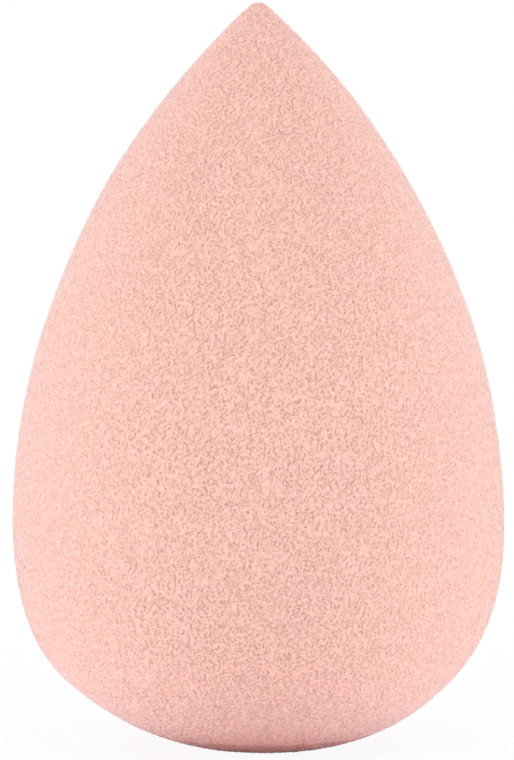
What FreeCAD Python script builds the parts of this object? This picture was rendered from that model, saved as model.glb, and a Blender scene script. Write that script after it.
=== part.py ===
import FreeCAD, Part
import math
import os

# Makeup sponge: one teardrop of fine open-cell foam, standing upright on its base.
# Millimetres. The origin is the centre of the flat foot, and +Z runs up the axis to the tip.

# Driving dimensions
overall_height = 60.0  # foot to tip
belly_diameter = 39.6  # across the widest ring
belly_height = 17.6  # widest ring above the foot
heel_diameter = 31.6  # across the ring where the side has turned halfway under
heel_height = 5.5  # that ring above the foot
shoulder_radius = 54.5  # arc of the side above the widest ring
shoulder_height = 38.0  # where that arc gives way to the neck
tip_radius = 0.95  # rounding of the point
foot_cut = 0.5  # depth of the flat cut across the rounded base

belly_radius = belly_diameter / 2
heel_radius = heel_diameter / 2


def outline_point(radius, height):
    """A point of the half outline, which lies in the XZ plane."""
    return FreeCAD.Vector(radius, 0, height)


def outline_curve(start, corner, end):
    """A curve that leaves start towards corner and comes into end from corner."""
    curve = Part.BezierCurve()
    curve.setPoles([start, corner, end])
    return curve.toShape()


def outline_arc(centre, radius, start, end):
    """An arc between two angles in radians, counted up from level."""
    points = []
    for angle in (start, (start + end) / 2, end):
        points.append(centre + outline_point(math.cos(angle), math.sin(angle)) * radius)
    return Part.Arc(*points).toShape()


def base_edges():
    """The underside, level on the axis, and the side, plumb at the widest ring.

    They meet at the heel, where both slope at 45 degrees.
    """
    lowest = outline_point(0, -foot_cut)
    heel = outline_point(heel_radius, heel_height)
    widest = outline_point(belly_radius, belly_height)
    under_corner = outline_point(heel_radius - (heel_height + foot_cut), -foot_cut)
    side_corner = outline_point(belly_radius, heel_height + (belly_radius - heel_radius))
    return [outline_curve(lowest, under_corner, heel), outline_curve(heel, side_corner, widest)]


def flank_edges():
    """The shoulder, plumb at the widest ring, the neck and the tip, each arc tangent to the next."""
    shoulder_centre = outline_point(belly_radius - shoulder_radius, belly_height)
    join_angle = math.asin((shoulder_height - belly_height) / shoulder_radius)
    outward = outline_point(math.cos(join_angle), math.sin(join_angle))
    join = shoulder_centre + outward * shoulder_radius

    # The neck's circle touches the shoulder's circle at the join and holds the tip's circle inside it.
    tip_centre = outline_point(0, overall_height - tip_radius)
    reach = join - tip_centre
    neck_radius = (reach.dot(reach) - tip_radius**2) / (2 * (outward.dot(reach) - tip_radius))
    neck_centre = join - outward * neck_radius
    to_tip = tip_centre - neck_centre
    tip_angle = math.atan2(to_tip.z, to_tip.x)

    shoulder = outline_arc(shoulder_centre, shoulder_radius, 0, join_angle)
    neck = outline_arc(neck_centre, neck_radius, join_angle, tip_angle)
    tip = outline_arc(tip_centre, tip_radius, tip_angle, math.pi / 2)
    return [shoulder, neck, tip]


def teardrop():
    """The half outline, closed along the axis and turned once around it."""
    axis = Part.LineSegment(outline_point(0, overall_height), outline_point(0, -foot_cut)).toShape()
    outline = Part.Wire([*base_edges(), *flank_edges(), axis])
    return Part.Face(outline).revolve(FreeCAD.Vector(0, 0, 0), FreeCAD.Vector(0, 0, 1), 360)


def below_foot():
    """A block under the foot's plane, as wide as the belly, which cuts the base flat."""
    corner = FreeCAD.Vector(-belly_radius, -belly_radius, -2 * foot_cut)
    return Part.makeBox(belly_diameter, belly_diameter, 2 * foot_cut, corner)


os.makedirs("parts", exist_ok=True)
foam_body = teardrop().cut(below_foot())
foam_body.exportStep("parts/foam_body.step")
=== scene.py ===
"""Makeup sponge: a teardrop of fine open-cell foam that stands on its flat foot."""

import math

import bpy
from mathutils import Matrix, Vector


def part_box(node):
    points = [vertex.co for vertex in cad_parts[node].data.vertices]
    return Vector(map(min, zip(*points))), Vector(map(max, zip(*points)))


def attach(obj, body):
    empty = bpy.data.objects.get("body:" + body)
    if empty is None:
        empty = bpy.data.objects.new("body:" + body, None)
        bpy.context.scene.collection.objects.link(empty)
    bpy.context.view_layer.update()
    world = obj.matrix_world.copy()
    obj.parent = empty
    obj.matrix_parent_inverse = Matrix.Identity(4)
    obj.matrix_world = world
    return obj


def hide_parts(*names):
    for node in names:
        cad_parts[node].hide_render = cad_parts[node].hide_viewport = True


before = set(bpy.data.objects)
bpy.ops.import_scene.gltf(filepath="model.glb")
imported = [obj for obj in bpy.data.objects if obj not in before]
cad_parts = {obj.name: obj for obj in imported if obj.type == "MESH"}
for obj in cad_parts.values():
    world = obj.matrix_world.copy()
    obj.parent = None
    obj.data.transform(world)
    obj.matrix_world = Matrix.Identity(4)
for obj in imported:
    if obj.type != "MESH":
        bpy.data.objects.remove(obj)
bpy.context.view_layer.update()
foam_low, foam_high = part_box("foam_body")

bl_info = {
    "name": "Makeup Sponge",
    "version": (1, 0, 0),
    "blender": (4, 5, 0),
    "location": "3D View > Sidebar > Makeup Sponge",
    "description": "Models a teardrop makeup sponge with open pores, and the studio around it",
    "category": "Add Mesh",
}

# Straight steps along each curve of the outline, and around the axis
UNDERSIDE_STEPS = 30
SIDE_STEPS = 18
SHOULDER_STEPS = 30
NECK_STEPS = 36
TIP_STEPS = 8
TURN_STEPS = 256

# Modelling aids
START_SIZE = 0.001  # the plane that is merged into the outline's first vertex
MERGE_DISTANCE = 1e-6  # closes the seam and the poles of the turned outline
SMOOTH_ROUNDS = 6  # take out the steps that the remesh leaves
ISLAND_ANGLE = math.radians(66)
ISLAND_MARGIN = 0.002

# How deep the foam is at a place: a fine noise and a scatter of round pits, added up
PIT_STRETCH = 1.2  # a pit's height over its width
GRAIN_TURN = (0.6, 0.5, 0)  # keeps the noise's own grid off the skin
GRAIN_ROUGHNESS = 0.8
GRAIN_LACUNARITY = 1.7
GRAIN_TOP = 0.667  # noise at this level is the top of a strut
GRAIN_SHARE = 1.15
PIT_REACH = 0.6  # a pit's radius over the distance between pits
PIT_SHARE = 1.8

# Where the pinker patches of the foam begin and are full, as levels of a noise
PATCH_START = 0.35
PATCH_FULL = 0.65
PATCH_DETAIL = 3
PATCH_ROUGHNESS = 0.55

# Places of the lamps, in degrees to the right of the camera's side and up from level
KEY_PLACE = (-70, 12)
FILL_PLACE = (70, 12)
TOP_PLACE = (0, 80)
FRONT_PLACE = (0, 2)
BACK_PLACE = (180, 15)

WHITE = (1, 1, 1, 1)


def length(name, description, default):
    """A property that holds a length in metres."""
    return bpy.props.FloatProperty(
        name=name, description=description, default=default, precision=6, unit="LENGTH"
    )


def colour(name, description, default):
    """A property that holds a colour in linear red, green and blue."""
    return bpy.props.FloatVectorProperty(
        name=name, description=description, default=default, size=3, min=0, max=1, subtype="COLOR"
    )


def share(name, description, default):
    """A property that holds a share from nothing to all."""
    return bpy.props.FloatProperty(
        name=name, description=description, default=default, min=0, max=1, subtype="FACTOR"
    )


def angle(name, description, degrees):
    """A property that holds an angle, written here in degrees."""
    return bpy.props.FloatProperty(
        name=name, description=description, default=math.radians(degrees), subtype="ANGLE"
    )


def power(name, description, default):
    """A property that holds a lamp's power in watts."""
    return bpy.props.FloatProperty(
        name=name, description=description, default=default, min=0, unit="POWER"
    )


class SpongeShape(bpy.types.PropertyGroup):
    """Sizes of the foam body."""

    overall_height: length("Overall height", "Foot to tip", foam_high.z)
    belly_radius: length("Belly radius", "Axis to the widest ring", foam_high.x)
    belly_height: length("Belly height", "Widest ring above the foot", 0.0176)
    heel_radius: length("Heel radius", "Axis to the ring where the side is halfway under", 0.01564)
    heel_height: length("Heel height", "That ring above the foot", 0.0055)
    shoulder_radius: length("Shoulder radius", "Arc of the side above the belly", 0.0545)
    shoulder_height: length("Shoulder height", "Where the shoulder gives way to the neck", 0.038)
    tip_radius: length("Tip radius", "Rounding of the point", 0.0011)
    foot_cut: length("Foot cut", "Depth of the flat cut across the base", 0.0005)
    foot_lean: length("Foot lean", "How far the base leans to the right of the axis", 0.0004)
    lean_reach: length("Lean reach", "How far up the side that lean is felt", 0.014)
    lump_pitch: length("Lump pitch", "Distance between soft swells of the skin", 0.013)
    lump_height: length("Lump height", "Lowest to highest swell", 0.00025)
    mesh_pitch: length("Mesh pitch", "Edge length of the foam's mesh", 0.00014)
    grain_pitch: length("Grain pitch", "Distance between the foam's struts", 0.000168)
    pit_pitch: length("Pit pitch", "Distance between the open pits among the struts", 0.000168)
    pit_depth: length("Pit depth", "Top of a strut to the bottom of the deepest pit", 0.00021)


class SpongeFinish(bpy.types.PropertyGroup):
    """Colours and surface of the foam."""

    strut_colour: colour("Strut colour", "Foam between the pores", (0.99, 0.6, 0.5225))
    # Painted shade: the pits' bottoms are coloured darker than the struts, on top of the shade that the
    # pushed-in pits cast
    pore_shade_colour: colour("Pore colour", "Bottom of the pores", (0.735, 0.414, 0.34))
    blush_colour: colour("Blush colour", "Faint pinker patches", (0.988, 0.592, 0.528))
    patch_pitch: length("Patch pitch", "Size of those patches", 0.004)
    roughness: share("Roughness", "Roughness of the struts", 0.78)
    pore_roughness: share("Pore roughness", "How much rougher the pores are", 0.18)
    gloss: share("Gloss", "Strength of the mirrored light", 0.25)
    sheen: share("Sheen", "Soft bloom of the foam at its edges", 1.0)
    sheen_roughness: share("Sheen roughness", "How far in that bloom spreads", 0.45)
    sheen_colour: colour("Sheen colour", "Tint of that bloom", (0.98, 0.97, 1.0))
    bump: share("Bump", "Strength of the relief finer than the mesh", 0.3)


class SpongeStudio(bpy.types.PropertyGroup):
    """The camera, lamps and floor."""

    camera_distance: length("Camera distance", "Camera to the middle of the frame", 0.42)
    camera_elevation: angle("Camera elevation", "Camera above level", 4)
    clip_start: length("Clip start", "Nearest thing that the camera sees", 0.01)
    view_height: length("View height", "What the frame's height takes in", 0.0612)
    view_aside: length("View aside", "Middle of the frame to the right of the axis", -0.00012)
    view_middle: length("View middle", "Middle of the frame above the floor", 0.02958)
    lamp_size: length("Lamp size", "Side of each square lamp", 0.35)
    lamp_distance: length("Lamp distance", "Lamp to the middle of the sponge", 0.7)
    lamp_colour: colour("Lamp colour", "Tint of the lamps around the sponge", (1.0, 0.99, 0.985))
    key_power: power("Key power", "Lamp on the left", 2.5)
    fill_power: power("Fill power", "Lamp on the right", 2.36)
    front_power: power("Front power", "Low lamp behind the camera", 0.4)
    back_power: power("Back power", "Lamp behind the sponge", 1.5)
    top_power: power("Top power", "Lamp overhead", 0.95)
    top_colour: colour("Top colour", "Tint of the lamp overhead", (1.0, 0.9, 0.83))
    table_power: power("Table power", "Light table around the foot", 0.0305)
    table_colour: colour("Table colour", "Tint of the light table", (0.9, 0.85, 1.0))
    table_size: length("Table size", "Width of the light table", 0.3)
    table_height: length("Table height", "Light table above the floor", 0.0012)
    ambient: share("Ambient", "Light from all round", 0.49)
    floor_size: length("Floor size", "Side of the square floor", 4)
    floor_colour: colour("Floor colour", "Paint of the open floor", (0.95, 0.95, 0.95))
    # Painted contact shadow: dark pink floor paint under the sponge stands for the shade there and for the
    # foam's pink bounce light
    contact_shadow_colour: colour("Foot colour", "Paint of the floor under the sponge", (0.75, 0.3, 0.28))
    # The painted contact shadow is full within this ring
    contact_shadow_ring: length("Foot ring", "Radius of the floor with the foot's colour", 0.0095)
    open_ring: length("Open ring", "Radius where the open floor's colour begins", 0.014)
    shadow_ring: length("Shadow ring", "Radius within which the shadow shows most", 0.02)
    white_ring: length("White ring", "Radius from which the floor looks plain white", 0.12)
    shadow_lift: share("Shadow lift", "How far the floor looks white within the shadow ring", 0.93)


class Shade:
    """A socket of a node tree. Python's operators on it add Math nodes."""

    def __init__(self, tree, socket=None):
        self.tree = tree
        self.socket = socket

    def node(self, kind, settings, sockets, output=0):
        """Adds a node, sets its settings, then its sockets' values or links, and wraps one output."""
        made = self.tree.nodes.new(kind)
        for name, value in settings.items():
            setattr(made, name, value)
        for name, value in sockets.items():
            if isinstance(value, Shade):
                self.tree.links.new(value.socket, made.inputs[name])
            else:
                made.inputs[name].default_value = value
        return Shade(self.tree, made.outputs[output] if made.outputs else None)

    def __add__(self, other):
        return self.node("ShaderNodeMath", {"operation": "ADD"}, {0: self, 1: other})

    def __radd__(self, other):
        return self.node("ShaderNodeMath", {"operation": "ADD"}, {0: other, 1: self})

    def __sub__(self, other):
        return self.node("ShaderNodeMath", {"operation": "SUBTRACT"}, {0: self, 1: other})

    def __rsub__(self, other):
        return self.node("ShaderNodeMath", {"operation": "SUBTRACT"}, {0: other, 1: self})

    def __mul__(self, other):
        return self.node("ShaderNodeMath", {"operation": "MULTIPLY"}, {0: self, 1: other})

    def __rmul__(self, other):
        return self.node("ShaderNodeMath", {"operation": "MULTIPLY"}, {0: other, 1: self})


def larger(first, second):
    """The larger of a link and another link or value."""
    return first.node("ShaderNodeMath", {"operation": "MAXIMUM"}, {0: first, 1: second})


def mixed(factor, first, second):
    """A colour between two others."""
    return factor.node("ShaderNodeMix", {"data_type": "RGBA"}, {0: factor, 6: first, 7: second}, 2)


def eased(value, start, end, low, high):
    """Low up to start, high from end on, and a soft step between them."""
    return value.node(
        "ShaderNodeMapRange",
        {"interpolation_type": "SMOOTHSTEP"},
        {"Value": value, "From Min": start, "From Max": end, "To Min": low, "To Max": high},
    )


def opaque(rgb):
    """A colour socket's value."""
    return (*rgb, 1)


def new_shade(owner):
    """Empties the node tree of a material or world, and wraps it."""
    owner.use_nodes = True
    owner.node_tree.nodes.clear()
    return Shade(owner.node_tree)


def outline_curve(start, corner, end, steps):
    """Points after start on the curve that leaves it towards corner and comes into end from corner."""
    points = []
    for step in range(1, steps + 1):
        t = step / steps
        points.append(start * (1 - t) ** 2 + corner * 2 * t * (1 - t) + end * t**2)
    return points


def outline_arc(centre, radius, start, end, steps):
    """Points after the first on an arc between two angles, counted up from level."""
    points = []
    for step in range(1, steps + 1):
        turn = start + (end - start) * step / steps
        points.append(centre + Vector((math.cos(turn), math.sin(turn))) * radius)
    return points


def half_outline(shape):
    """Radius and height along the side, from the axis under the foot to the tip."""
    lowest = Vector((0, -shape.foot_cut))
    heel = Vector((shape.heel_radius, shape.heel_height))
    widest = Vector((shape.belly_radius, shape.belly_height))
    under_corner = Vector((heel.x - (heel.y - lowest.y), lowest.y))
    side_corner = Vector((widest.x, heel.y + (widest.x - heel.x)))

    shoulder_centre = widest - Vector((shape.shoulder_radius, 0))
    join_angle = math.asin((shape.shoulder_height - shape.belly_height) / shape.shoulder_radius)
    outward = Vector((math.cos(join_angle), math.sin(join_angle)))
    join = shoulder_centre + outward * shape.shoulder_radius

    # The neck's circle touches the shoulder's circle at the join and holds the tip's circle inside it.
    tip_centre = Vector((0, shape.overall_height - shape.tip_radius))
    reach = join - tip_centre
    neck_radius = (reach.dot(reach) - shape.tip_radius**2) / (2 * (outward.dot(reach) - shape.tip_radius))
    neck_centre = join - outward * neck_radius
    to_tip = tip_centre - neck_centre
    tip_angle = math.atan2(to_tip.y, to_tip.x)

    return [
        lowest,
        *outline_curve(lowest, under_corner, heel, UNDERSIDE_STEPS),
        *outline_curve(heel, side_corner, widest, SIDE_STEPS),
        *outline_arc(shoulder_centre, shape.shoulder_radius, 0, join_angle, SHOULDER_STEPS),
        *outline_arc(neck_centre, neck_radius, join_angle, tip_angle, NECK_STEPS),
        *outline_arc(tip_centre, shape.tip_radius, tip_angle, math.pi / 2, TIP_STEPS),
    ]


def start_piece(name, point):
    """A new mesh object of one vertex, open in edit mode, with the vertex selected."""
    bpy.ops.object.select_all(action="DESELECT")
    bpy.ops.mesh.primitive_plane_add(size=START_SIZE, location=(0, 0, 0))
    piece = bpy.context.object
    piece.name = name
    piece.data.name = name
    bpy.ops.object.mode_set(mode="EDIT")
    bpy.ops.mesh.select_all(action="SELECT")
    bpy.ops.mesh.merge(type="CENTER")
    bpy.ops.transform.translate(value=point)
    return piece


def turn_outline(points):
    """Extrudes the selected vertex along the points, then spins the line once round the Z axis."""
    for here, there in zip(points, points[1:]):
        stride = there - here
        bpy.ops.mesh.extrude_vertices_move(TRANSFORM_OT_translate={"value": (stride.x, 0, stride.y)})
    bpy.ops.mesh.select_all(action="SELECT")
    bpy.ops.mesh.spin(steps=TURN_STEPS, angle=2 * math.pi, center=(0, 0, 0), axis=(0, 0, 1))
    bpy.ops.mesh.select_all(action="SELECT")
    bpy.ops.mesh.remove_doubles(threshold=MERGE_DISTANCE)
    bpy.ops.mesh.normals_make_consistent(inside=False)
    bpy.ops.object.mode_set(mode="OBJECT")


def lean_base(shape):
    """Pushes the underside aside, less and less up the side."""
    bpy.ops.object.mode_set(mode="EDIT")
    bpy.ops.mesh.select_all(action="DESELECT")
    bpy.ops.object.mode_set(mode="OBJECT")
    for vertex in bpy.context.object.data.vertices:
        vertex.select = vertex.co.z < shape.foot_cut
    bpy.ops.object.mode_set(mode="EDIT")
    bpy.ops.transform.translate(
        value=(shape.foot_lean, 0, 0),
        use_proportional_edit=True,
        proportional_edit_falloff="SMOOTH",
        proportional_size=shape.lean_reach,
    )
    bpy.ops.object.mode_set(mode="OBJECT")


def add_modifier(piece, kind):
    """A new modifier at the end of the piece's list."""
    bpy.ops.object.modifier_add(type=kind)
    return piece.modifiers[-1]


def raise_lumps(piece, shape):
    """Lets the skin swell and sink a little, as soft foam does."""
    clouds = bpy.data.textures.new("lumps", "CLOUDS")
    clouds.noise_scale = shape.lump_pitch
    clouds.noise_depth = 1
    modifier = add_modifier(piece, "DISPLACE")
    modifier.texture = clouds
    modifier.texture_coords = "LOCAL"
    modifier.strength = shape.lump_height
    bpy.ops.object.modifier_apply(modifier=modifier.name)


def cut_foot():
    """Cuts the base flat at the floor and closes it."""
    bpy.ops.object.mode_set(mode="EDIT")
    bpy.ops.mesh.select_all(action="SELECT")
    bpy.ops.mesh.bisect(plane_co=(0, 0, 0), plane_no=(0, 0, 1), clear_inner=True, use_fill=True)
    bpy.ops.object.mode_set(mode="OBJECT")


def even_mesh(piece, shape):
    """Gives the skin faces of one size, fine enough for its pits."""
    remesh = add_modifier(piece, "REMESH")
    remesh.mode = "VOXEL"
    remesh.voxel_size = shape.mesh_pitch
    bpy.ops.object.modifier_apply(modifier=remesh.name)
    smooth = add_modifier(piece, "SMOOTH")
    smooth.iterations = SMOOTH_ROUNDS
    bpy.ops.object.modifier_apply(modifier=smooth.name)


def unwrap(piece):
    """Lays the skin out flat in a UV map named OFBake."""
    bpy.ops.object.mode_set(mode="EDIT")
    bpy.ops.mesh.select_all(action="SELECT")
    bpy.ops.uv.smart_project(angle_limit=ISLAND_ANGLE, island_margin=ISLAND_MARGIN)
    bpy.ops.object.mode_set(mode="OBJECT")
    piece.data.uv_layers[0].name = "OFBake"


def foam_hollow(shade, place, shape):
    """Nought on top of the foam's struts and one at the bottom of its pits.

    The mesh and the material share it, so relief and colour fall in the same places.
    """
    drawn_out = shade.node(
        "ShaderNodeVectorMath", {"operation": "MULTIPLY"}, {0: place, 1: (1, 1, 1 / PIT_STRETCH)}
    )
    turned = shade.node(
        "ShaderNodeVectorRotate",
        {"rotation_type": "EULER_XYZ"},
        {"Vector": drawn_out, "Rotation": GRAIN_TURN},
    )
    grain = shade.node(
        "ShaderNodeTexNoise",
        {},
        {
            "Vector": turned,
            "Scale": 1 / shape.grain_pitch,
            "Detail": 1,
            "Roughness": GRAIN_ROUGHNESS,
            "Lacunarity": GRAIN_LACUNARITY,
        },
    )
    nearest = shade.node(
        "ShaderNodeTexVoronoi", {}, {"Vector": turned, "Scale": 1 / shape.pit_pitch}, "Distance"
    )
    pit = larger(PIT_REACH - nearest, 0)
    depth = GRAIN_SHARE * (GRAIN_TOP - grain) + PIT_SHARE * pit
    return shade.node("ShaderNodeClamp", {}, {"Value": depth})


def push_pits(piece, shape):
    """Keeps each vertex's place on the skin as an attribute, then pushes the pits in along the normals."""
    tree = bpy.data.node_groups.new("pits", "GeometryNodeTree")
    tree.interface.new_socket("Geometry", in_out="INPUT", socket_type="NodeSocketGeometry")
    tree.interface.new_socket("Geometry", in_out="OUTPUT", socket_type="NodeSocketGeometry")
    shade = Shade(tree)
    skin = shade.node("NodeGroupInput", {}, {})
    place = shade.node("GeometryNodeInputPosition", {}, {})
    kept = shade.node(
        "GeometryNodeStoreNamedAttribute",
        {"data_type": "FLOAT_VECTOR", "domain": "POINT"},
        {"Geometry": skin, "Name": "skin_place", "Value": place},
    )
    normal = shade.node("GeometryNodeInputNormal", {}, {})
    inward = shade.node(
        "ShaderNodeVectorMath",
        {"operation": "SCALE"},
        {0: normal, "Scale": foam_hollow(shade, place, shape) * -shape.pit_depth},
    )
    pushed = shade.node("GeometryNodeSetPosition", {}, {"Geometry": kept, "Offset": inward})
    shade.node("NodeGroupOutput", {}, {"Geometry": pushed})
    modifier = add_modifier(piece, "NODES")
    modifier.node_group = tree
    bpy.ops.object.modifier_apply(modifier=modifier.name)


def foam_material(shape, finish):
    """Peach foam with painted shade that darkens its pores, and a soft bloom at its edges."""
    material = bpy.data.materials.new("peach_foam")
    shade = new_shade(material)
    place = shade.node("ShaderNodeAttribute", {"attribute_name": "skin_place"}, {}, "Vector")
    hollow = foam_hollow(shade, place, shape)
    blotch = shade.node(
        "ShaderNodeTexNoise",
        {},
        {
            "Vector": place,
            "Scale": 1 / finish.patch_pitch,
            "Detail": PATCH_DETAIL,
            "Roughness": PATCH_ROUGHNESS,
        },
    )
    patch = eased(blotch, PATCH_START, PATCH_FULL, 0, 1)
    tint = mixed(patch, opaque(finish.strut_colour), opaque(finish.blush_colour))
    # Painted shade: the pore colour darkens the bottoms of the pits
    base = mixed(hollow, tint, opaque(finish.pore_shade_colour))
    bump = shade.node(
        "ShaderNodeBump",
        {"invert": True},
        {"Strength": finish.bump, "Distance": shape.pit_depth / 2, "Height": hollow},
    )
    surface = shade.node(
        "ShaderNodeBsdfPrincipled",
        {},
        {
            "Base Color": base,
            "Roughness": finish.roughness + finish.pore_roughness * hollow,
            "Normal": bump,
            "Specular IOR Level": finish.gloss,
            "Sheen Weight": finish.sheen,
            "Sheen Roughness": finish.sheen_roughness,
            "Sheen Tint": opaque(finish.sheen_colour),
        },
    )
    shade.node("ShaderNodeOutputMaterial", {}, {"Surface": surface})
    return material


class MAKEUP_SPONGE_OT_foam_body(bpy.types.Operator):
    """Models the foam body and its pores"""

    bl_idname = "makeup_sponge.foam_body"
    bl_label = "Foam Body"
    bl_options = {"REGISTER", "UNDO"}

    def execute(self, context):
        shape = context.scene.sponge_shape
        points = half_outline(shape)
        foam = start_piece("foam", (points[0].x, 0, points[0].y))
        turn_outline(points)
        lean_base(shape)
        raise_lumps(foam, shape)
        cut_foot()
        even_mesh(foam, shape)
        unwrap(foam)
        push_pits(foam, shape)
        bpy.ops.object.shade_smooth()

        foam.data.materials.append(foam_material(shape, context.scene.sponge_finish))
        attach(foam, "root")
        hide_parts("foam_body")
        return {"FINISHED"}


def seen_directly(shade):
    """One for what the camera, a mirror or a lens sees, and nought for light that falls on things."""
    camera = shade.node("ShaderNodeLightPath", {}, {}, "Is Camera Ray")
    mirror = shade.node("ShaderNodeLightPath", {}, {}, "Is Glossy Ray")
    lens = shade.node("ShaderNodeLightPath", {}, {}, "Is Transmission Ray")
    return larger(larger(camera, mirror), lens)


def floor_material(studio):
    """White paint that looks plain white far off and keeps the sponge's shadow near it.

    Under the foot the paint is a dark pink. It is a painted contact shadow with painted pink bounce light
    from the foam, so that the line of contact is dark and warm.
    """
    material = bpy.data.materials.new("white_floor")
    shade = new_shade(material)
    place = shade.node("ShaderNodeTexCoord", {}, {}, "Object")
    radius = shade.node("ShaderNodeVectorMath", {"operation": "LENGTH"}, {0: place}, "Value")
    lift = eased(radius, studio.shadow_ring, studio.white_ring, studio.shadow_lift, 1)
    # Painted contact shadow: the paint turns dark pink within the ring under the sponge
    openness = eased(radius, studio.contact_shadow_ring, studio.open_ring, 0, 1)
    tint = mixed(openness, opaque(studio.contact_shadow_colour), opaque(studio.floor_colour))
    paint = shade.node("ShaderNodeBsdfDiffuse", {}, {"Color": tint})
    glow = shade.node("ShaderNodeEmission", {}, {"Color": WHITE, "Strength": 1})
    surface = shade.node("ShaderNodeMixShader", {}, {0: lift * seen_directly(shade), 1: paint, 2: glow})
    shade.node("ShaderNodeOutputMaterial", {}, {"Surface": surface})
    return material


def aim(piece, target):
    """Turns a lamp or camera to look at a point."""
    piece.rotation_euler = (target - piece.location).to_track_quat("-Z", "Y").to_euler()


def round_the_middle(middle, distance, azimuth, elevation):
    """A place at a distance from the middle. Azimuth counts from the camera's side to the right."""
    return middle + distance * Vector((
        math.sin(azimuth) * math.cos(elevation),
        -math.cos(azimuth) * math.cos(elevation),
        math.sin(elevation),
    ))


class MAKEUP_SPONGE_OT_studio(bpy.types.Operator):
    """Sets up the floor, the lamps, the world and the camera"""

    bl_idname = "makeup_sponge.studio"
    bl_label = "Studio"
    bl_options = {"REGISTER", "UNDO"}

    def execute(self, context):
        studio = context.scene.sponge_studio
        self.add_floor(studio)
        self.add_world(context.scene, studio)
        self.add_lamp("key_lamp", studio, studio.key_power, studio.lamp_colour, KEY_PLACE)
        self.add_lamp("fill_lamp", studio, studio.fill_power, studio.lamp_colour, FILL_PLACE)
        self.add_lamp("top_lamp", studio, studio.top_power, studio.top_colour, TOP_PLACE)
        self.add_lamp("front_lamp", studio, studio.front_power, studio.lamp_colour, FRONT_PLACE)
        self.add_lamp("back_lamp", studio, studio.back_power, studio.lamp_colour, BACK_PLACE)
        self.add_table_lamp(studio)
        self.add_camera(context.scene, studio)
        context.scene.view_settings.view_transform = "Standard"
        return {"FINISHED"}

    def add_floor(self, studio):
        """A wide white floor that the sponge stands on."""
        bpy.ops.object.select_all(action="DESELECT")
        bpy.ops.mesh.primitive_plane_add(size=studio.floor_size, location=(0, 0, 0))
        floor = bpy.context.object
        floor.name = "floor"
        floor.data.materials.append(floor_material(studio))

    def add_world(self, scene, studio):
        """White to look at, and an even light of the studio's own level on things."""
        scene.world = bpy.data.worlds.new("white_room")
        shade = new_shade(scene.world)
        strength = studio.ambient + (1 - studio.ambient) * seen_directly(shade)
        light = shade.node("ShaderNodeBackground", {}, {"Color": WHITE, "Strength": strength})
        shade.node("ShaderNodeOutputWorld", {}, {"Surface": light})

    def add_lamp(self, name, studio, watts, tint, place):
        """A square lamp that looks at the middle of the sponge."""
        middle = (foam_low + foam_high) / 2
        azimuth, elevation = place
        location = round_the_middle(
            middle, studio.lamp_distance, math.radians(azimuth), math.radians(elevation)
        )
        bpy.ops.object.light_add(type="AREA", location=location)
        lamp = bpy.context.object
        lamp.name = name
        lamp.data.energy = watts
        lamp.data.color = tint
        lamp.data.size = studio.lamp_size
        lamp.visible_camera = False
        aim(lamp, middle)

    def add_table_lamp(self, studio):
        """A round lamp that faces up, as a lit white table lights what stands on it."""
        bpy.ops.object.light_add(
            type="AREA", location=(0, 0, studio.table_height), rotation=(math.pi, 0, 0)
        )
        lamp = bpy.context.object
        lamp.name = "table_lamp"
        lamp.data.shape = "DISK"
        lamp.data.energy = studio.table_power
        lamp.data.color = studio.table_colour
        lamp.data.size = studio.table_size
        lamp.visible_camera = False

    def add_camera(self, scene, studio):
        """A camera with a long lens, a little above level."""
        target = Vector((studio.view_aside, 0, studio.view_middle))
        location = round_the_middle(target, studio.camera_distance, 0, studio.camera_elevation)
        bpy.ops.object.camera_add(location=location)
        camera = bpy.context.object
        camera.name = "camera"
        camera.data.clip_start = studio.clip_start
        camera.data.lens = camera.data.sensor_width * studio.camera_distance / studio.view_height
        aim(camera, target)
        scene.camera = camera


class VIEW3D_PT_makeup_sponge(bpy.types.Panel):
    """Lists the sponge's pieces and their sizes"""

    bl_idname = "VIEW3D_PT_makeup_sponge"
    bl_label = "Makeup Sponge"
    bl_space_type = "VIEW_3D"
    bl_region_type = "UI"
    bl_category = "Makeup Sponge"

    def draw(self, context):
        scene = context.scene
        for operator, groups in (
            (MAKEUP_SPONGE_OT_foam_body, (scene.sponge_shape, scene.sponge_finish)),
            (MAKEUP_SPONGE_OT_studio, (scene.sponge_studio,)),
        ):
            box = self.layout.box()
            box.operator(operator.bl_idname)
            for group in groups:
                for name in group.__annotations__:
                    box.prop(group, name)


classes = (
    SpongeShape,
    SpongeFinish,
    SpongeStudio,
    MAKEUP_SPONGE_OT_foam_body,
    MAKEUP_SPONGE_OT_studio,
    VIEW3D_PT_makeup_sponge,
)


def register():
    for cls in classes:
        bpy.utils.register_class(cls)
    bpy.types.Scene.sponge_shape = bpy.props.PointerProperty(type=SpongeShape)
    bpy.types.Scene.sponge_finish = bpy.props.PointerProperty(type=SpongeFinish)
    bpy.types.Scene.sponge_studio = bpy.props.PointerProperty(type=SpongeStudio)


def unregister():
    del bpy.types.Scene.sponge_studio
    del bpy.types.Scene.sponge_finish
    del bpy.types.Scene.sponge_shape
    for cls in reversed(classes):
        bpy.utils.unregister_class(cls)


def main():
    register()
    bpy.ops.makeup_sponge.foam_body()
    bpy.ops.makeup_sponge.studio()


if __name__ == "__main__":
    main()
